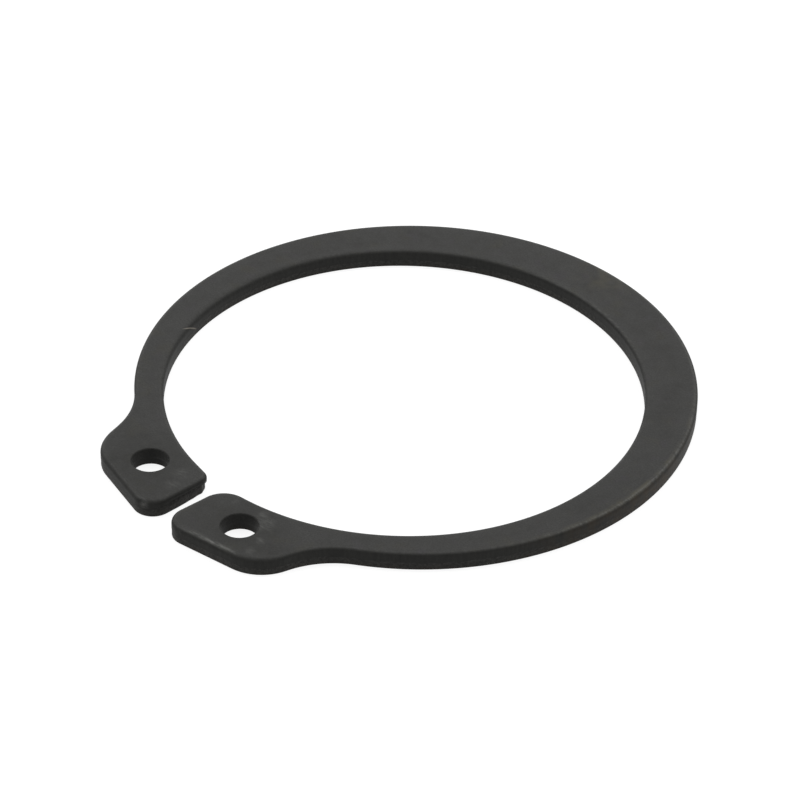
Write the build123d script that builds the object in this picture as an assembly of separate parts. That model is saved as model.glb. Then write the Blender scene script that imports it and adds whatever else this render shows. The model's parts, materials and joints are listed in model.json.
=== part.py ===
from build123d import *

import os
from math import atan2, cos, degrees, radians, sin, sqrt, tan

# External retaining ring (circlip) for a 48 mm shaft: one flat stamping of spring-steel strip.
#
# Frame, in millimetres: the origin is on the shaft's axis, in the ring's lower, sheared face. +Z runs
# along the shaft towards the upper face, whose edges the punch has rolled over. The gap between the
# two lugs opens towards -Y. The plan is laid out on its +X half and mirrored.

# The bow
FREE_BORE = 44.5  # inner diameter of the relaxed ring, less than that of the groove it grips
THICKNESS = 1.75  # of the strip
BACK_WIDTH = 5.3  # of the bow, opposite the gap
FRONT_WIDTH = 2.4  # that the tapering bow comes down to at the gap, under the lugs

# The lugs
GAP = 2.05  # between the two end faces, on the bore's line
GAP_LEAN = 1.25  # degrees that each end face leans over the gap, going outwards
BORE_END = 9.0  # degrees short of the gap's middle where the round bore runs on straight to a lug's tip
LUG_HEIGHT = 7.55  # from the bore out to a lug's outer edge, at its end face
EDGE_LENGTH = 11.1  # of that outer edge, between its unrounded corners
EDGE_SLOPE = 12.1  # degrees that it falls back towards the bow
FLANK_LEAN = 11.6  # degrees between a lug's flank and the plane of symmetry
OUTER_TIP = 1.9  # rounding between the end face and the outer edge
SHOULDER = 4.4  # rounding between the outer edge and the flank
NOTCH = 8.4  # hollow that leads the flank into the bow
RIGHT_INNER_TIP = 2.55  # rounding at the bore on the +X lug
LEFT_INNER_TIP = 1.0  # the same on the -X lug, which came out of the tool sharper

# The plier holes
HOLE = 3.35  # diameter
HOLE_FROM_END = 5.35  # from its centre to the end face; it lies midway between bore and outer edge

# The stamped edges
ROLL = 0.25  # rounding that the blanking punch drags over the outline's upper edge
HOLE_ROLL = 0.15  # the same round a plier hole
TUMBLED = 0.08  # bevel that tumbling leaves on the lower edges

# The torn lip at the -X lug's inner tip, where the lower part of the end face stands back
LIP_LENGTH = 4.0  # along the end face, tapering out
LIP_DEPTH = 0.25  # at the tip
LIP_THICKNESS = 0.75  # of the upper part that overhangs

bore_centre = Vector(0, 0)
bore_radius = FREE_BORE / 2
rim_centre = Vector(0, (BACK_WIDTH - FRONT_WIDTH) / 2)
rim_radius = bore_radius + (BACK_WIDTH + FRONT_WIDTH) / 2


def heading(angle):
    """A direction in plan, at an angle in degrees from +X."""
    return Vector(cos(radians(angle)), sin(radians(angle)))


def crossing(start, way, other_start, other_way):
    """Where two lines in plan cross."""
    return start + way * ((other_start - start).cross(other_way).Z / way.cross(other_way).Z)


def circle_hit(start, way, centre, radius):
    """Where the line from a start outside a circle first meets it."""
    offset = start - centre
    along = offset.dot(way)
    return start - way * (along + sqrt(along**2 - offset.dot(offset) + radius**2))


# The lines that bound the +X lug
end_root = Vector(GAP / 2, -bore_radius)
end_way = heading(-90 - GAP_LEAN)
edge_root = end_root - Vector(0, LUG_HEIGHT)
edge_way = heading(EDGE_SLOPE)
flank_way = heading(90 - FLANK_LEAN)

# Its unrounded corners, going round from the bore to the bow
run_start = bore_centre + heading(BORE_END - 90) * bore_radius
inner_tip = crossing(run_start, heading(BORE_END - 180), end_root, end_way)
outer_tip = crossing(end_root, end_way, edge_root, edge_way)
shoulder = outer_tip + edge_way * EDGE_LENGTH
notch = circle_hit(shoulder, flank_way, rim_centre, rim_radius)


def corner_reach(radius, turn):
    """How far along each wall a rounding reaches from its corner, for a turn in degrees."""
    return radius * tan(radians(turn / 2))


def shoulder_radius():
    """The shoulder's rounding, held to the straight edge and to the near half of the flank."""
    turn = 90 - FLANK_LEAN - EDGE_SLOPE
    edge_room = EDGE_LENGTH - corner_reach(OUTER_TIP, 90 + GAP_LEAN + EDGE_SLOPE)
    room = min(edge_room, (notch - shoulder).length / 2)
    return min(SHOULDER, room / corner_reach(1, turn))


def notch_radius():
    """The notch's hollow, held to what the shoulder's rounding leaves of the flank."""
    spare = 0.02  # of straight flank, kept between the two curves
    reach = corner_reach(shoulder_radius(), 90 - FLANK_LEAN - EDGE_SLOPE)
    start = shoulder + flank_way * (reach + spare) - rim_centre
    outwards = heading(-FLANK_LEAN)
    widest = (start.dot(start) - rim_radius**2) / (2 * (rim_radius - start.dot(outwards)))
    return min(NOTCH, widest)


def half_plan(inner_tip_radius):
    """The plan of the ring's +X half, with the lug's corners rounded."""
    notch_spoke = notch - rim_centre
    notch_angle = degrees(atan2(notch_spoke.Y, notch_spoke.X))
    back = Line(bore_centre + Vector(0, bore_radius), rim_centre + Vector(0, rim_radius))
    bore_wall = CenterArc(bore_centre, bore_radius, BORE_END - 90, 180 - BORE_END)
    lug_walls = Polyline(run_start, inner_tip, outer_tip, shoulder, notch)
    rim_wall = CenterArc(rim_centre, rim_radius, notch_angle, 90 - notch_angle)
    plan = make_face([back, bore_wall, lug_walls, rim_wall])
    roundings = [
        (inner_tip, inner_tip_radius),
        (outer_tip, OUTER_TIP),
        (shoulder, shoulder_radius()),
        (notch, notch_radius()),
    ]
    for corner, radius in roundings:
        plan = fillet(plan.vertices().sort_by_distance(corner)[0], radius)
    return plan


def hole_centre():
    """A plier hole's place in the +X lug: midway across it, on a line beside the end face."""
    beside_end = end_root + heading(-GAP_LEAN) * HOLE_FROM_END
    at_edge = crossing(beside_end, end_way, edge_root, edge_way)
    at_bore = circle_hit(at_edge, -end_way, bore_centre, bore_radius)
    return (at_edge + at_bore) / 2


def blank():
    """The pierced stamping, square-edged."""
    plan = half_plan(RIGHT_INNER_TIP) + mirror(half_plan(LEFT_INNER_TIP), about=Plane.YZ)
    centre = hole_centre()
    for side in (1, -1):
        plan -= Pos(side * centre.X, centre.Y) * Circle(HOLE / 2)
    return extrude(plan, THICKNESS)


def soften_edges(stamping):
    """Rolls the upper edges over and takes the burr off the lower ones."""
    upper = stamping.edges().group_by(Axis.Z)[-1]
    stamping = fillet([edge for edge in upper if not edge.is_closed], ROLL)
    upper = stamping.edges().group_by(Axis.Z)[-1]
    stamping = fillet([edge for edge in upper if edge.is_closed], HOLE_ROLL)
    return chamfer(stamping.edges().group_by(Axis.Z)[0], TUMBLED)


def torn_recess():
    """The sliver missing under the -X lug's lip, deepest at the inner tip."""
    run_out = 1.0  # of the cut, past the tip into the open bore
    deepest = LIP_DEPTH * (LIP_LENGTH + run_out) / LIP_LENGTH
    into_lug = heading(-GAP_LEAN)
    outer = inner_tip + end_way * LIP_LENGTH
    inner = inner_tip - end_way * run_out
    clear = into_lug * (-GAP / 4)
    wedge = make_face(Polyline(outer + clear, outer, inner + into_lug * deepest, inner + clear, close=True))
    return extrude(mirror(wedge, about=Plane.YZ), THICKNESS - LIP_THICKNESS)


def retaining_ring():
    """The finished ring."""
    ring = soften_edges(blank()) - torn_recess()
    ring.label = "retaining_ring"
    return ring


os.makedirs("parts", exist_ok=True)
export_step(retaining_ring(), "parts/retaining_ring.step")
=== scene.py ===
import json
from cmath import exp, phase
from math import ceil, cos, pi, radians, sin, sqrt, tan

import bpy
import numpy as np
from mathutils import Matrix, Quaternion, Vector, noise
from mathutils.geometry import delaunay_2d_cdt


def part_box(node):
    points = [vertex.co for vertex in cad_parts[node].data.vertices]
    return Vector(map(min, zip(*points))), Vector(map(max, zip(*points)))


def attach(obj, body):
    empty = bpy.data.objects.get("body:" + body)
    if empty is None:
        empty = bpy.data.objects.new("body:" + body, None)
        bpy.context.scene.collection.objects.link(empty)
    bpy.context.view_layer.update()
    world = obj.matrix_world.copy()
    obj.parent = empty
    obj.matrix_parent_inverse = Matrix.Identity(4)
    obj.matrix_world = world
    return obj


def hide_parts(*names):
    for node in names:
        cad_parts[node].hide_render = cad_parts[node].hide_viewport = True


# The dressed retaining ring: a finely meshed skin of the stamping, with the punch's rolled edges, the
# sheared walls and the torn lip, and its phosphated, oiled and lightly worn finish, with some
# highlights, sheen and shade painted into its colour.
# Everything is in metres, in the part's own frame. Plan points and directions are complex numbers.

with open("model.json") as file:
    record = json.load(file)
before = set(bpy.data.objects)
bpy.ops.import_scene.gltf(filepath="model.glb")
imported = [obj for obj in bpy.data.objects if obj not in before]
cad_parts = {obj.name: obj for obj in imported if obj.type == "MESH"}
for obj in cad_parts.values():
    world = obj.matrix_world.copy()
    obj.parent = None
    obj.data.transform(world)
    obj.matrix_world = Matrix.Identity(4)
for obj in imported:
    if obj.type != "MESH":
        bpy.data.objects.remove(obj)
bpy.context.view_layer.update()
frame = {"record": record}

MM = 0.001
NODE = "retaining_ring"

# ---------------------------------------------------------------------------------------------
# Sizes: read from the frame where it holds them, otherwise those of the stamping
# ---------------------------------------------------------------------------------------------

mounts = {mount["name"]: mount for mount in frame["record"]["mounts"]}
low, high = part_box(NODE)
bore_radius = mounts["shaft_seat"]["dims"]["r_mm"] * MM
hole_radius = mounts["plier_hole_right"]["dims"]["r_mm"] * MM
hole_centres = [complex(*mounts[name]["pos_m"][:2]) for name in ("plier_hole_right", "plier_hole_left")]
thickness = high[2] - low[2]
rim_radius = (high[0] - low[0]) / 2
rim_centre = 1j * (high[1] - rim_radius)

GAP = 2.05 * MM  # between the lugs' end faces, on the bore's line
GAP_LEAN = 1.25  # degrees that each end face leans over the gap
BORE_END = 9.0  # degrees short of the gap's middle where the round bore runs on straight
LUG_HEIGHT = 7.55 * MM  # from the bore to a lug's outer edge
EDGE_LENGTH = 11.1 * MM  # of that edge, between its unrounded corners
EDGE_SLOPE = 12.1  # degrees that it falls back
FLANK_LEAN = 11.6  # degrees between a lug's flank and the plane of symmetry
OUTER_TIP = 1.9 * MM  # roundings in plan
SHOULDER = 4.4 * MM
NOTCH = 8.4 * MM
INNER_TIPS = {"right": 2.55 * MM, "left": 1.0 * MM}

FIT = 0.006 * MM  # that the skin stays inside the part's nominal walls
TUMBLED = 0.08 * MM  # rounding of the lower edges

# The torn lip along the left lug's end face, and the crease that runs on under it
LIP_LENGTH = 4.0 * MM
LIP_DEPTH = 0.26 * MM  # that the steel under it stands back, most of all at the inner tip
LIP_FALL = 1.5  # power by which that depth falls off along the lip
LIP_RAGGEDNESS = 0.5  # share of the depth that comes and goes
LIP_THICKNESS = 0.62 * MM
CREASE_LENGTH = 6.5 * MM
CREASE_FADE = CREASE_LENGTH / 3  # at its end
CREASE_DEPTH = 0.12 * MM
CREASE_HEIGHT = 0.35 * MM
FACING_GAP = 0.7  # X of the normals from which a wall takes the lip in full

# ---------------------------------------------------------------------------------------------
# Edges: how the punch rolled and broke each wall
# ---------------------------------------------------------------------------------------------

# The rolled upper edge, by wall: width and depth in mm, and how bright its line of wear and painted
# highlight is, from 0 to 1
ROLLS = {
    "bore": (0.42, 0.42, 0.06),
    "inner tip": (0.45, 0.4, 0.12),
    "end": (0.5, 0.46, 0.08),
    "outer tip": (0.5, 0.5, 0.12),
    "edge": (0.5, 0.5, 0.1),
    "shoulder": (0.5, 0.5, 0.08),
    "flank": (0.42, 0.35, 0.05),
    "notch": (0.38, 0.3, 0.05),
    "rim": (0.42, 0.3, 0.1),
    "hole": (0.14, 0.15, 0),
}
# What is added along some stretches: wall, angle and half spread in degrees, then the same three
STRETCHES = [
    # The brightness added on the rim's roll at 14 and 50 degrees is a painted highlight
    ("rim", 14, 38, -0.08, 0.32, 0.42),
    ("rim", 50, 30, 0.0, 0.0, 0.12),
    ("bore", 190, 55, 0.2, 0.2, 0.0),
    # The brightness added on the bore's roll at 82 degrees is a painted highlight too
    ("bore", 82, 34, 0.0, 0.0, 0.22),
    ("edge", -77, 11, 0.0, 0.0, 0.65),
]
ROLL_BLEND = 40  # passes of smoothing where one wall's roll runs into the next

BREAK_HEIGHT = 0.72 * MM  # top of the zone where the steel broke instead of being cut
BREAK_DEPTH = 0.018 * MM  # that it stands back
BREAK_WANDER = 0.12 * MM  # of its upper boundary
GRIT = 0.012 * MM  # roughness of the broken zone
DRAG = 0.004 * MM  # of the burnished one above it
DRAG_STRETCH = 6  # times as high as wide, the drag marks
WAVE = 0.008 * MM  # unevenness of the faces

# How large the features of each are
WANDER_SIZE = 0.9 * MM
RAG_SIZE = 0.5 * MM
GRIT_SIZE = 0.22 * MM
DRAG_SIZE = 0.25 * MM
WAVE_SIZE = 5 * MM

# Dents in the walls: plan point, height, radius and depth in mm
DENTS = [
    ((18.9, 19.9), 1.5, 0.35, 0.1),
    ((19.6, 19.2), 1.45, 0.3, 0.08),
    ((14.6, -19.9), 0.95, 0.25, 0.06),
    ((17.5, -17.4), 0.9, 0.25, 0.06),
    ((-1.9, -29.6), 1.5, 0.4, 0.12),
    ((24.9, -3.9), 1.4, 0.3, 0.08),
    ((25.6, 9.6), 1.3, 0.35, 0.08),
    ((3.1, -29.5), 1.4, 0.35, 0.08),
]

# ---------------------------------------------------------------------------------------------
# Plan: the outline as points with outward normals, the steel on the left of the way round
# ---------------------------------------------------------------------------------------------

STEP = 0.13 * MM  # at most, between neighbouring points of an outline
LARGEST_TURN = 5.0  # degrees between neighbouring points of a tight rounding


def heading(angle):
    """A plan direction, in degrees from +X."""
    return exp(1j * radians(angle))


def across(a, b):
    """The cross product of two plan vectors."""
    return (a.conjugate() * b).imag


def crossing(start, way, other_start, other_way):
    """Where two lines in plan cross."""
    return start + way * across(other_start - start, other_way) / across(way, other_way)


def circle_hit(start, way, centre, radius):
    """Where the line from a start outside a circle first meets it."""
    offset = start - centre
    along = (offset * way.conjugate()).real
    return start - way * (along + sqrt(along**2 - abs(offset) ** 2 + radius**2))


def line(start, end):
    """Points and normals along a straight wall, without its last point."""
    count = max(1, ceil(abs(end - start) / STEP))
    points = start + (end - start) * np.arange(count) / count
    return points, np.full(count, -1j * (end - start) / abs(end - start))


def arc(centre, radius, start, sweep):
    """The same along a round wall: a sweep clockwise, under 0, is hollow."""
    count = ceil(max(radius * radians(abs(sweep)) / STEP, abs(sweep) / LARGEST_TURN))
    spokes = np.exp(1j * np.radians(start + sweep * np.arange(count) / count))
    return centre + radius * spokes, spokes * np.sign(sweep)


end_root = GAP / 2 - 1j * bore_radius
end_way = heading(-90 - GAP_LEAN)
edge_root = end_root - 1j * LUG_HEIGHT
run_start = bore_radius * heading(BORE_END - 90)
run_way = heading(BORE_END - 180)
edge_way = heading(EDGE_SLOPE)
flank_way = heading(90 - FLANK_LEAN)
inner_tip = crossing(run_start, run_way, end_root, end_way)
outer_tip = crossing(end_root, end_way, edge_root, edge_way)
shoulder = outer_tip + edge_way * EDGE_LENGTH


def half_outline(inner_tip_radius):
    """The walls of one half as (name, points, normals), from the bore's back to the rim's back."""
    walls = [("bore", *arc(0, bore_radius, 90, BORE_END - 180))]
    ways = [run_way, end_way, edge_way, flank_way]
    corners = [
        ("bore", "inner tip", inner_tip, inner_tip_radius),
        ("end", "outer tip", outer_tip, OUTER_TIP),
        ("edge", "shoulder", shoulder, SHOULDER),
    ]
    at = run_start
    for (wall, rounding, corner, radius), way, next_way in zip(corners, ways, ways[1:]):
        turn = phase(next_way / way)
        reach = radius * tan(turn / 2)
        begin = corner - way * reach
        walls.append((wall, *line(at, begin)))
        first = np.degrees(phase(-1j * way))
        walls.append((rounding, *arc(begin + 1j * way * radius, radius, first, np.degrees(turn))))
        at = corner + next_way * reach
    outwards = -1j * flank_way
    hollow = circle_hit(at + outwards * NOTCH, flank_way, rim_centre, rim_radius + NOTCH)
    walls.append(("flank", *line(at, hollow - outwards * NOTCH)))
    first = np.degrees(phase(-outwards))
    last = np.degrees(phase(rim_centre - hollow))
    walls.append(("notch", *arc(hollow, NOTCH, first, -((first - last) % 360))))
    first = np.degrees(phase(hollow - rim_centre))
    walls.append(("rim", *arc(rim_centre, rim_radius, first, 90 - first)))
    return walls


def bump(distance, reach):
    """1 at no distance, falling smoothly to 0 at the reach."""
    return (1 + np.cos(pi * np.clip(np.abs(distance) / reach, 0, 1))) / 2


def roll_sizes(name, points):
    """Width, depth, and wear and painted highlight of the rolled edge at each point of a wall."""
    sizes = np.tile(ROLLS[name], (len(points), 1))
    for wall, angle, spread, *extra in STRETCHES:
        if wall == name:
            strength = bump(np.angle(points * heading(-angle), deg=True), spread)
            sizes += np.outer(strength, extra)
    return sizes * (MM, MM, 1)


def blend(values):
    """Evens out values that run round a closed outline."""
    for _ in range(ROLL_BLEND):
        values = (np.roll(values, 1, axis=0) + 2 * values + np.roll(values, -1, axis=0)) / 4
    return values


def half_ring(side):
    """Points, normals and roll sizes of one half, from the bore's back to the rim's back."""
    walls = []
    for name, points, normals in half_outline(INNER_TIPS[side]):
        if side == "left":
            points, normals = -points.conjugate(), -normals.conjugate()
        walls.append((points, normals, roll_sizes(name, points)))
    return [np.concatenate(values) for values in zip(*walls)]


def outline():
    """The same once round the ring."""
    right, left = half_ring("right"), half_ring("left")
    back = ([rim_centre + 1j * rim_radius], [1j], right[2][-1:])
    parts = zip(right, back, left)
    points, normals, rolls = [np.concatenate([there, end, again[:0:-1]]) for there, end, again in parts]
    return points, normals, blend(rolls)


# ---------------------------------------------------------------------------------------------
# Skin: each outline carries the stamping's section up its wall, and two triangulated faces close it
# ---------------------------------------------------------------------------------------------

FACE_MARGIN = 0.3 * MM  # flat ring inside each edge, before the triangles begin
FACE_PITCH = 0.42 * MM  # of the triangles
FACE_CLEARANCE = 0.6 * FACE_PITCH  # between their corners and the flat ring
SHARP_ANGLE = radians(50)  # from which an edge is shaded as sharp

BEVEL_ROWS = 3
BROKEN_ROWS = 7
BURNISHED_ROWS = 5
FIRST_BURNISHED = 0.12  # of a row's height, above the broken zone
ROLL_ROWS = 9
WEAR_AND_HIGHLIGHT_TURN = radians(66)  # from wall to face, where a rolled edge's wear and painted highlight are brightest
WEAR_AND_HIGHLIGHT_SPREAD = radians(36)
ROLL_SHADE_GAIN = 2.2  # times the cosine of that turn, less the loss, is how far the roll takes the walls' colour, as painted shade
ROLL_SHADE_LOSS = 0.9


def grain(plan, height, size, stretch=1.0):
    """Smooth noise from 0 to 1 at each point, stretched along the height."""
    scaled = np.stack([plan.real / size, plan.imag / size, height / (size * stretch)], axis=1)
    return np.array([0.5 + 0.5 * noise.noise(Vector(p)) for p in scaled])


def lip_shares(points, normals):
    """How strongly the left lug's end face is torn back, and creased, at each point."""
    tip = -inner_tip.conjugate()
    along = np.abs(points - tip)
    facing_gap = np.clip(normals.real / FACING_GAP, 0, 1) * (points.real < 0)
    torn = np.clip(1 - along / LIP_LENGTH, 0, 1) ** LIP_FALL * facing_gap
    creased = np.clip((CREASE_LENGTH - along) / CREASE_FADE, 0, 1) * facing_gap
    return torn, creased


def wall_rows(points, normals, roll_depth, pierced):
    """The rows up to the roll, as inset, height and three marks: the walls with painted shade,
    the broken steel, and wear with painted highlight.
    """
    flat = np.zeros(len(points))
    torn, creased = lip_shares(points, normals)
    wander = (grain(points, flat, WANDER_SIZE) - 0.5) * 2 * BREAK_WANDER
    boundary = BREAK_HEIGHT + (thickness - LIP_THICKNESS - BREAK_HEIGHT) * creased + wander
    ragged = 1 + LIP_RAGGEDNESS * (grain(points, flat, RAG_SIZE) - 0.5)
    step_back = BREAK_DEPTH * (1 - pierced) + LIP_DEPTH * torn * ragged
    rows = [(flat + TUMBLED + FACE_MARGIN + step_back, flat, 0, 0, 0)]
    for k in range(BEVEL_ROWS + 1):
        turn = pi / 2 * k / BEVEL_ROWS
        inset = step_back + TUMBLED * (1 - sin(turn))
        rows.append((inset, flat + TUMBLED * (1 - cos(turn)), k / BEVEL_ROWS, 1, 0))
    for k in range(1, BROKEN_ROWS + 1):
        height = TUMBLED + (boundary - TUMBLED) * k / BROKEN_ROWS
        crease = creased * CREASE_DEPTH * np.clip(1 - (boundary - height) / CREASE_HEIGHT, 0, 1)
        grit = GRIT * grain(points, height, GRIT_SIZE)
        rows.append((step_back + crease + grit, height, 1, 1 - pierced, 0))
    wall_top = thickness - roll_depth
    for k in range(BURNISHED_ROWS):
        height = boundary + (wall_top - boundary) * (k + FIRST_BURNISHED) / BURNISHED_ROWS
        rows.append((DRAG * grain(points, height, DRAG_SIZE, DRAG_STRETCH), height, 1, 0, 0))
    return rows


def roll_rows(rolls, pierced):
    """The same over the rolled edge, and the flat ring inside it."""
    roll_width, roll_depth, wear_and_highlight_share = rolls.T
    rows = []
    for k in range(ROLL_ROWS + 1):
        turn = pi / 2 * k / ROLL_ROWS
        height = thickness - roll_depth * (1 - sin(turn))
        least = pierced * (k < ROLL_ROWS)  # a hole's roll takes the walls' darker colour, as painted shade, up to its last row
        # Painted shade: the roll takes on the walls' darker colour as it turns down to them
        sheared = np.clip(ROLL_SHADE_GAIN * cos(turn) - ROLL_SHADE_LOSS, least, 1)
        # A line of wear, and of painted highlight where the stretches add it, along the roll's upper part
        wear_and_highlight = wear_and_highlight_share * bump(turn - WEAR_AND_HIGHLIGHT_TURN, WEAR_AND_HIGHLIGHT_SPREAD)
        rows.append((roll_width * (1 - cos(turn)), height, sheared, 0, wear_and_highlight))
    rows.append((roll_width + FACE_MARGIN, np.full(len(rolls), thickness), 0, 0, 0))
    return rows


class Skin:
    """A mesh in the making, with the three marks that its section carries."""

    def __init__(self):
        self.points, self.faces = [], []
        self.sheared, self.broken, self.wear_and_highlight = [], [], []

    def add_row(self, plan, heights, sheared=0, broken=0, wear_and_highlight=0):
        """Adds points with their marks, and returns their numbers."""
        first = len(self.points)
        self.sheared += [float(sheared)] * len(plan)
        self.broken += [float(broken)] * len(plan)
        self.wear_and_highlight += list(wear_and_highlight * np.ones(len(plan)))
        self.points += [(p.real, p.imag, z) for p, z in zip(plan, heights)]
        return np.arange(first, first + len(plan))

    def add_wall(self, points, normals, rolls, pierced=0):
        """Sweeps the section round one outline, and returns its lowest and highest rows."""
        rows = wall_rows(points, normals, rolls[:, 1], pierced) + roll_rows(rolls, pierced)
        indices = [self.add_row(points - normals * (inset + FIT), *rest) for inset, *rest in rows]
        for below, above in zip(indices, indices[1:]):
            self.faces += zip(below, np.roll(below, -1), np.roll(above, -1), above)
        return indices[0], indices[-1]

    def add_face(self, rings, facing_up):
        """Triangulates one face between the rows of points that bound it."""
        loops = [np.array([complex(*self.points[i][:2]) for i in ring]) for ring in rings]
        height = self.points[rings[0][0]][2]
        grid = face_grid(loops)
        indices = np.concatenate([*rings, self.add_row(grid, np.full(len(grid), height))])
        plan = np.concatenate([*loops, grid]) / MM
        edges, start = [], 0
        for ring in rings:
            edges += [(start + k, start + (k + 1) % len(ring)) for k in range(len(ring))]
            start += len(ring)
        corners = [Vector((p.real, p.imag)) for p in plan]
        inside_only = 1  # keeps nothing outside the outermost ring
        closest = 1e-6  # in mm, at which two points would be joined
        spots, _, triangles, origins, _, _ = delaunay_2d_cdt(corners, edges, [], inside_only, closest)
        source = [indices[origin[0]] for origin in origins]
        centres = np.array([sum(complex(*spots[k]) for k in t) / 3 for t in triangles]) * MM
        pierced = np.any([inside(centres, loop) for loop in loops[1:]], axis=0)
        for triangle, dropped in zip(triangles, pierced):
            if not dropped:
                way_round = triangle if facing_up else triangle[::-1]
                self.faces.append([source[k] for k in way_round])


def inside(points, loop):
    """Which points lie inside a closed loop."""
    hits = np.zeros(len(points), dtype=int)
    for a, b in zip(loop, np.roll(loop, -1)):
        if a.imag != b.imag:
            between = (a.imag > points.imag) != (b.imag > points.imag)
            at = a.real + (points.imag - a.imag) * (b.real - a.real) / (b.imag - a.imag)
            hits += between & (points.real < at)
    return hits % 2 == 1


def in_steel(points, loops):
    """Which points lie inside the first loop and outside the others."""
    held = inside(points, loops[0])
    for loop in loops[1:]:
        held &= ~inside(points, loop)
    return held


def face_grid(loops):
    """Evenly staggered points over a face, kept off its edges."""
    outer = loops[0]
    ys = np.arange(outer.imag.min(), outer.imag.max(), FACE_PITCH * sqrt(3) / 2)
    xs = np.arange(outer.real.min(), outer.real.max(), FACE_PITCH)
    grid = np.array([x + (FACE_PITCH / 2) * (k % 2) + 1j * y for k, y in enumerate(ys) for x in xs])
    grid = grid[in_steel(grid, loops)]
    edge = np.concatenate(loops)
    return np.array([p for p in grid if np.abs(edge - p).min() > FACE_CLEARANCE])


def unevenness(points):
    """The skin's points with the faces' gentle waves and the walls' dents, all into the steel."""
    plan = points[:, 0] + 1j * points[:, 1]
    upper = np.clip(points[:, 2] / thickness * 2 - 1, 0, 1)  # 0 up to half the height, 1 on top
    moved = points.copy()
    moved[:, 2] -= upper * WAVE * grain(plan, points[:, 2], WAVE_SIZE)
    for spot, height, radius, depth in DENTS:
        centre = complex(*spot) * MM
        reach = np.sqrt(np.abs(plan - centre) ** 2 + (points[:, 2] - height * MM) ** 2)
        push = bump(reach, radius * MM) * depth * MM
        inwards = rim_centre - centre
        inwards /= abs(inwards)
        moved[:, 0] += push * inwards.real
        moved[:, 1] += push * inwards.imag
        moved[:, 2] -= push * upper
    return moved


def build_ring():
    """The ring's skin as one closed mesh."""
    skin = Skin()
    ends = [skin.add_wall(*outline())]
    for centre in hole_centres:
        points, normals = arc(centre, hole_radius, 90, -360)
        ends.append(skin.add_wall(points, normals, roll_sizes("hole", points), pierced=1))
    lowest, highest = zip(*ends)
    skin.add_face(highest, True)
    skin.add_face(lowest, False)
    points = unevenness(np.array(skin.points))
    mesh = bpy.data.meshes.new("ring_skin")
    mesh.from_pydata(points.tolist(), [], [[int(i) for i in face] for face in skin.faces])
    mesh.materials.append(phosphated_steel())
    mesh.shade_smooth()
    mesh.set_sharp_from_angle(angle=SHARP_ANGLE)
    add_marks(mesh, points, skin)
    ring = bpy.data.objects.new("ring_skin", mesh)
    bpy.context.collection.objects.link(ring)
    return ring


# ---------------------------------------------------------------------------------------------
# Marks: wear, stains, scuffs, painted highlights and sheen, darker lugs, as numbers from 0 to 1 on the
# mesh
# ---------------------------------------------------------------------------------------------

# Scuffs on the upper face: plan point and radius in mm, and strength
SCUFFS = [
    ((7.6, -23.2), 1.4, 0.4),
    ((6.5, -22.5), 0.8, 0.35),
    ((9.2, -25.0), 0.5, 0.5),
    ((3.4, -23.0), 0.5, 0.3),
    ((9.7, -26.6), 0.6, 0.45),
    ((-2.2, -25.7), 1.0, 0.25),
    ((-2.9, -24.2), 1.3, 0.2),
    ((-1.9, -29.3), 0.6, 0.7),
]
DENT_RUB = 0.6  # how bright a dent is rubbed

# Oil stains: on the rim's roll round an angle, on the walls' foot, and a patch on the bow's back
STAIN_ANGLE = 14  # degrees from +X
STAIN_SPREAD = 40  # degrees to either side
STAIN_BAND = 0.5 * MM  # from the rim inwards
FOOT_HEIGHT = 0.5 * MM
FOOT_STAIN = 0.6
PATCH_AT = complex(-0.5, 26.8) * MM
PATCH_REACH = 5 * MM
PATCH_STAIN = 0.5

# Half the width of the bands of painted sheen beside the bow's edges, and the reach of the darker patch
# round a hole
RIM_BAND = 0.9 * MM
BORE_BAND = 0.7 * MM
DARKENED_REACH = 6.5 * MM


def scuffed(plan, height, edge_wear_and_highlight):
    """Bright steel: worn and painted highlight on the rolled edges, worn in scuffs and on dented walls."""
    wear_and_highlight = np.array(edge_wear_and_highlight)
    on_top = height > thickness / 2
    for spot, radius, strength in SCUFFS:
        scuff = strength * bump(plan - complex(*spot) * MM, radius * MM) * on_top
        wear_and_highlight = np.maximum(wear_and_highlight, scuff)
    for spot, level, radius, _ in DENTS:
        distance = np.sqrt(np.abs(plan - complex(*spot) * MM) ** 2 + (height - level * MM) ** 2)
        wear_and_highlight = np.maximum(wear_and_highlight, DENT_RUB * bump(distance, radius * MM))
    return wear_and_highlight


def stained(plan, height):
    """Olive and brown oil stain: the rim's deep roll, the walls' foot and a patch on the back."""
    on_band = np.abs(plan - rim_centre) > rim_radius - STAIN_BAND
    band = bump(np.angle(plan * heading(-STAIN_ANGLE), deg=True), STAIN_SPREAD) * on_band
    foot = np.clip(1 - height / FOOT_HEIGHT, 0, 1) * FOOT_STAIN
    patch = PATCH_STAIN * bump(plan - PATCH_AT, PATCH_REACH)
    return np.clip(band + foot + patch, 0, 1)


def edge_sheen(plan):
    """The slightly paler bands of painted sheen that run beside the bow's two edges."""
    from_rim = rim_radius - np.abs(plan - rim_centre)
    from_bore = np.abs(plan) - bore_radius
    return np.maximum(bump(from_rim - RIM_BAND, RIM_BAND), bump(from_bore - BORE_BAND, BORE_BAND))


def darkened(plan):
    """The lugs' darker middles."""
    return np.max([bump(plan - centre, DARKENED_REACH) for centre in hole_centres], axis=0)


def add_marks(mesh, points, skin):
    """Stores each mark on the mesh, for the material to read."""
    plan = points[:, 0] + 1j * points[:, 1]
    height = points[:, 2]
    marks = {
        "sheared": skin.sheared,
        "broken": skin.broken,
        "wear_and_highlight": scuffed(plan, height, skin.wear_and_highlight),
        "darkened": darkened(plan),
        "stained": stained(plan, height),
        "edge_sheen": edge_sheen(plan),
    }
    for name, values in marks.items():
        mesh.attributes.new(name, "FLOAT", "POINT").data.foreach_set("value", values)


# ---------------------------------------------------------------------------------------------
# Materials
# ---------------------------------------------------------------------------------------------

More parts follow.
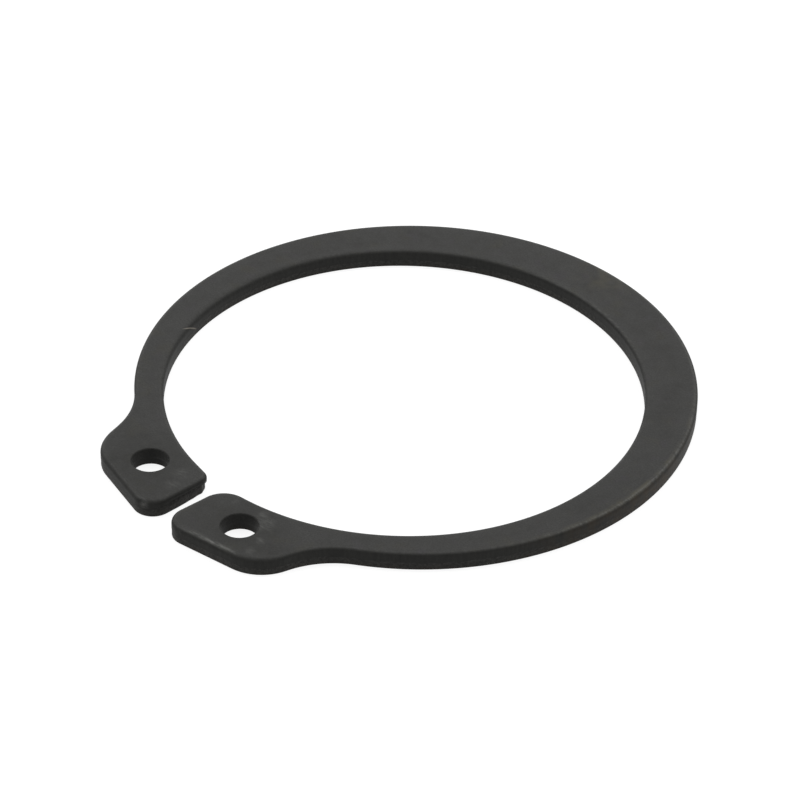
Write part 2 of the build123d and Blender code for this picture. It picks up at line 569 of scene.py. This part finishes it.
# The finish's colours, linear
FACE_DARK = (0.022, 0.0216, 0.0198, 1)
FACE_PALE = (0.038, 0.0376, 0.0356, 1)
OLIVE = (0.040, 0.038, 0.028, 1)
VIOLET = (0.036, 0.032, 0.037, 1)
# The paler colour of the painted sheen beside the bow's edges
EDGE_SHEEN_COLOUR = (0.046, 0.046, 0.045, 1)
BLOTCH = (0.044, 0.044, 0.042, 1)
LUG_DARK = (0.014, 0.014, 0.012, 1)
SPECKLE = (0.012, 0.012, 0.010, 1)
# The walls' darkest colour: the cut steel's own, and partly painted shade
WALL_DARK_AND_SHADE = (0.010, 0.010, 0.009, 1)
CUT_PALE = (0.020, 0.020, 0.018, 1)
BROKEN_PALE = (0.042, 0.041, 0.038, 1)
FACE_STAIN = (0.068, 0.062, 0.042, 1)
WALL_STAIN = (0.040, 0.030, 0.019, 1)
# Bare steel, also the colour of the highlights painted on the rolled edges
BARE_STEEL_AND_HIGHLIGHT = (0.19, 0.19, 0.18, 1)
SCRATCH = (0.22, 0.20, 0.17, 1)
WHITE = (1, 1, 1, 1)

# How strongly three of the marks show
EDGE_SHEEN_SHOWS = 0.3
DARKENED_SHOWS = 0.8
STAINED_SHOWS = 0.7

WALL_ROUGHNESS = 0.62
FACE_ROUGHNESS = (0.34, 0.50)  # from its smoothest to its roughest
SPECULAR = 0.2
BUMP_DEPTH = 0.012 * MM
BUMP_STRENGTH = 0.6


def add(tree, kind, inputs=None, **settings):
    """A shader node. Inputs, by name or number, are values or the sockets of other nodes."""
    node = tree.nodes.new(kind)
    for name, value in settings.items():
        setattr(node, name, value)
    for name, value in (inputs or {}).items():
        if isinstance(value, bpy.types.NodeSocket):
            tree.links.new(value, node.inputs[name])
        else:
            node.inputs[name].default_value = value
    return node


def new_material(name):
    """A material with an empty node tree."""
    material = bpy.data.materials.new(name)
    material.use_nodes = True
    material.node_tree.nodes.clear()
    return material, material.node_tree


def noise_field(tree, size, stretch=1.0, along=None, detail=2.0):
    """Noise in the part's own frame, stretched along Z or at an angle in plan, with features of a size."""
    where = add(tree, "ShaderNodeTexCoord").outputs["Object"]
    turned = add(tree, "ShaderNodeMapping", {"Vector": where, "Rotation": (0, 0, radians(-(along or 0)))})
    scale = (1, 1, 1 / stretch) if along is None else (1 / stretch, 1, 1)
    squash = add(tree, "ShaderNodeMapping", {"Vector": turned.outputs[0], "Scale": scale})
    roughness = 0.6  # share that each finer octave keeps
    inputs = {"Vector": squash.outputs[0], "Scale": 1 / size, "Detail": detail, "Roughness": roughness}
    return add(tree, "ShaderNodeTexNoise", inputs).outputs["Fac"]


def ranged(tree, value, low_in, high_in, low_out=0.0, high_out=1.0):
    """A value carried from one range to another, and held there."""
    inputs = {0: value, 1: low_in, 2: high_in, 3: low_out, 4: high_out}
    return add(tree, "ShaderNodeMapRange", inputs).outputs[0]


def patches(tree, size, low_in, high_in, most=1.0, **kind):
    """Patches of noise: none of them up to the low value, and the most from the high one on."""
    return ranged(tree, noise_field(tree, size, **kind), low_in, high_in, 0.0, most)


def calculated(tree, operation, a, b=0.0):
    """The result of one operation on two values."""
    return add(tree, "ShaderNodeMath", {0: a, 1: b}, operation=operation).outputs[0]


def product(tree, a, b):
    """Two values multiplied."""
    return calculated(tree, "MULTIPLY", a, b)


def mixed(tree, share, a, b):
    """One colour passing into another."""
    return add(tree, "ShaderNodeMix", {0: share, 6: a, 7: b}, data_type="RGBA").outputs[2]


def mark(tree, name):
    """One of the marks stored on the mesh."""
    return add(tree, "ShaderNodeAttribute", attribute_name=name).outputs["Fac"]


def face_colour(tree):
    """A dark satin grey, cloudy, with paler bands of painted sheen beside the edges."""
    clouds = patches(tree, 3.5 * MM, 0.3, 0.7, detail=3)
    colour = mixed(tree, clouds, FACE_DARK, FACE_PALE)
    colour = mixed(tree, patches(tree, 2.2 * MM, 0.56, 0.72, 0.6, detail=1), colour, OLIVE)
    colour = mixed(tree, patches(tree, 1.6 * MM, 0.58, 0.74, 0.6, detail=1), colour, VIOLET)
    # Painted sheen: paler bands beside the bow's edges
    colour = mixed(tree, product(tree, mark(tree, "edge_sheen"), EDGE_SHEEN_SHOWS), colour, EDGE_SHEEN_COLOUR)
    colour = mixed(tree, product(tree, mark(tree, "darkened"), DARKENED_SHOWS), colour, LUG_DARK)
    colour = mixed(tree, patches(tree, 0.7 * MM, 0.35, 0.65, 0.35, detail=3), colour, BLOTCH)
    return mixed(tree, patches(tree, 0.16 * MM, 0.35, 0.65, 0.5), colour, SPECKLE)


def wall_colour(tree):
    """Dark and smooth where the punch cut, paler and mottled where the steel broke; the dark is partly
    painted shade.
    """
    streaks = patches(tree, 0.3 * MM, 0.3, 0.7, stretch=4, detail=3)
    cut = mixed(tree, streaks, WALL_DARK_AND_SHADE, CUT_PALE)
    mottle = patches(tree, 0.3 * MM, 0.35, 0.65, detail=3)
    torn = mixed(tree, mottle, WALL_DARK_AND_SHADE, BROKEN_PALE)
    return mixed(tree, mark(tree, "broken"), cut, torn)


# The one long scratch, down the rolled edge and wall of the bore on its left
SCRATCH_START = Vector((-20.4, -9.9, 1.74)) * MM
SCRATCH_END = Vector((-20.8, -7.7, 0.6)) * MM
SCRATCH_FACING = Vector((0.7, 0.25, 0.65))  # the way that the scratched surface looks
SCRATCH_WIDTH = 0.07 * MM  # to either side of its middle line
SCRATCH_REACH = 0.8 * MM  # above and below the straight line between its ends
SCRATCH_CORE = 0.6  # share of each of these within which it is at its strongest
SCRATCH_SHOWS = 0.8


def scratched(tree):
    """How strongly the hairline scratch shows: not at all outside it."""
    way = SCRATCH_END - SCRATCH_START
    lengthwise = way.normalized()
    sideways = SCRATCH_FACING.cross(lengthwise).normalized()
    axes = Matrix((lengthwise, sideways, lengthwise.cross(sideways))).transposed()
    inputs = {"Vector": add(tree, "ShaderNodeTexCoord").outputs["Object"]}
    inputs |= {"Location": (SCRATCH_START + SCRATCH_END) / 2, "Rotation": axes.to_euler()}
    local = add(tree, "ShaderNodeMapping", inputs, vector_type="TEXTURE")
    distances = add(tree, "ShaderNodeSeparateXYZ", {"Vector": local.outputs[0]}).outputs
    share = SCRATCH_SHOWS
    for distance, limit in zip(distances, (way.length / 2, SCRATCH_WIDTH, SCRATCH_REACH)):
        within = ranged(tree, calculated(tree, "ABSOLUTE", distance), limit, limit * SCRATCH_CORE)
        share = product(tree, within, share)
    return share


def phosphated_steel():
    """Phosphated and oiled spring steel: satin faces, rougher cut walls darkened partly by painted shade,
    wear, and painted highlights and sheen.

    The worn places and painted highlights are streaked the way that the right lug's outer edge runs.
    """
    material, tree = new_material("phosphated_steel")
    sheared = mark(tree, "sheared")
    # The walls' darker colour, and the rolls' darkening towards them, are partly painted shade
    colour = mixed(tree, sheared, face_colour(tree), wall_colour(tree))
    stain = product(tree, mark(tree, "stained"), patches(tree, 1.3 * MM, 0.35, 0.65))
    stain_colour = mixed(tree, sheared, FACE_STAIN, WALL_STAIN)
    colour = mixed(tree, product(tree, stain, STAINED_SHOWS), colour, stain_colour)
    # Wear, and the painted highlights on the rolled edges, as streaked bare steel
    streaks = noise_field(tree, 0.28 * MM, stretch=3, along=EDGE_SLOPE, detail=3)
    worn_and_highlit = product(tree, ranged(tree, streaks, 0.4, 0.7, 0.25, 1), mark(tree, "wear_and_highlight"))
    colour = mixed(tree, worn_and_highlit, colour, BARE_STEEL_AND_HIGHLIGHT)
    colour = mixed(tree, scratched(tree), colour, SCRATCH)
    satin = ranged(tree, noise_field(tree, 1.1 * MM), 0.3, 0.7, *FACE_ROUGHNESS)
    roughness = ranged(tree, sheared, 0, 1, satin, WALL_ROUGHNESS)
    fine = noise_field(tree, 0.18 * MM)
    coarse = product(tree, sheared, noise_field(tree, 0.3 * MM))
    heights = calculated(tree, "ADD", fine, coarse)
    bump_inputs = {"Height": heights, "Strength": BUMP_STRENGTH, "Distance": BUMP_DEPTH}
    bumps = add(tree, "ShaderNodeBump", bump_inputs)
    shader_inputs = {"Base Color": colour, "Roughness": roughness, "Normal": bumps.outputs[0]}
    shader = add(tree, "ShaderNodeBsdfPrincipled", shader_inputs)
    shader.inputs["Specular IOR Level"].default_value = SPECULAR
    add(tree, "ShaderNodeOutputMaterial", {"Surface": shader.outputs[0]})
    return material


# ---------------------------------------------------------------------------------------------
# Studio
# ---------------------------------------------------------------------------------------------

AIM = Vector((-0.372, -0.196, 0)) * MM  # the point in the picture's middle
CAMERA_DISTANCE = 366.56 * MM
CAMERA_AZIMUTH = 47.955  # degrees
CAMERA_ELEVATION = 36.056
CAMERA_ROLL = 0.984
LENS = 177.8  # millimetres on a 36 mm sensor
NEAREST = 10 * MM  # at which the camera sees anything


def place_camera():
    """The photograph's camera. Its azimuth is measured from straight in front of the gap."""
    azimuth, elevation = radians(CAMERA_AZIMUTH), radians(CAMERA_ELEVATION)
    back = Vector((sin(azimuth) * cos(elevation), -cos(azimuth) * cos(elevation), sin(elevation)))
    camera = bpy.data.objects.new("camera", bpy.data.cameras.new("camera"))
    camera.data.lens = LENS
    camera.data.clip_start = NEAREST
    camera.location = AIM + back * CAMERA_DISTANCE
    camera.rotation_mode = "QUATERNION"
    look = (-back).to_track_quat("-Z", "Y")
    camera.rotation_quaternion = look @ Quaternion((0, 0, 1), radians(CAMERA_ROLL))
    bpy.context.collection.objects.link(camera)
    bpy.context.scene.camera = camera


FLOOR_SIZE = 3.0  # in metres
FLOOR_DROP = 0.01 * MM  # below the ring
FLOOR_GREY = 0.3
FLOOR_GLOW = 0.84  # what the camera and reflections see of the floor besides its own shading

# Softboxes: azimuth from +X and elevation in degrees, distance and width in metres, and brightness
SOFTBOXES = [
    (138, 68, 0.75, 0.5, 1.0),
    (62, 46, 0.65, 0.36, 2.3),
    (214, 46, 0.65, 0.36, 2.3),
]
ROOM_LIGHT = 0.5  # of the white that the camera sees


def seen_in_picture(tree):
    """1 for what the camera sees, straight on, in a reflection or through glass, and 0 for other light."""
    path = add(tree, "ShaderNodeLightPath").outputs
    mirrored = calculated(tree, "MAXIMUM", path["Is Glossy Ray"], path["Is Transmission Ray"])
    return calculated(tree, "MAXIMUM", path["Is Camera Ray"], mirrored)


def make_floor():
    """A wide white floor that keeps the ring's faint shadow."""
    mesh = bpy.data.meshes.new("floor")
    half = FLOOR_SIZE / 2
    corners = [(-half, -half, 0), (half, -half, 0), (half, half, 0), (-half, half, 0)]
    mesh.from_pydata(corners, [], [(0, 1, 2, 3)])
    floor = bpy.data.objects.new("floor", mesh)
    bpy.context.collection.objects.link(floor)
    floor.location.z = low[2] - FLOOR_DROP
    material, tree = new_material("floor")
    strength = product(tree, seen_in_picture(tree), FLOOR_GLOW)
    glow = add(tree, "ShaderNodeEmission", {"Color": WHITE, "Strength": strength})
    matte = add(tree, "ShaderNodeBsdfDiffuse", {"Color": (FLOOR_GREY, FLOOR_GREY, FLOOR_GREY, 1)})
    both = add(tree, "ShaderNodeAddShader", {0: glow.outputs[0], 1: matte.outputs[0]})
    add(tree, "ShaderNodeOutputMaterial", {"Surface": both.outputs[0]})
    mesh.materials.append(material)


def light_studio():
    """A white room and three softboxes: one behind overhead, and one on each side."""
    world = bpy.data.worlds.new("studio")
    bpy.context.scene.world = world
    world.use_nodes = True
    tree = world.node_tree
    tree.nodes.clear()
    strength = ranged(tree, seen_in_picture(tree), 0, 1, ROOM_LIGHT, 1)
    room = add(tree, "ShaderNodeBackground", {"Color": WHITE, "Strength": strength})
    add(tree, "ShaderNodeOutputWorld", {"Surface": room.outputs[0]})
    for number, (azimuth, elevation, distance, width, brightness) in enumerate(SOFTBOXES):
        lamp = bpy.data.lights.new(f"softbox_{number}", "AREA")
        lamp.shape = "SQUARE"
        lamp.size = width
        lamp.energy = brightness * pi * width**2  # so that its width doesn't change how bright it looks
        softbox = bpy.data.objects.new(lamp.name, lamp)
        level = cos(radians(elevation))
        spot = heading(azimuth) * level
        way = Vector((spot.real, spot.imag, sin(radians(elevation))))
        softbox.location = way * distance
        softbox.rotation_mode = "QUATERNION"
        softbox.rotation_quaternion = way.to_track_quat("Z", "Y")
        bpy.context.collection.objects.link(softbox)


ring = build_ring()
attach(ring, "root")
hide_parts(NODE)

make_floor()
light_studio()
place_camera()
bpy.context.scene.view_settings.view_transform = "Standard"
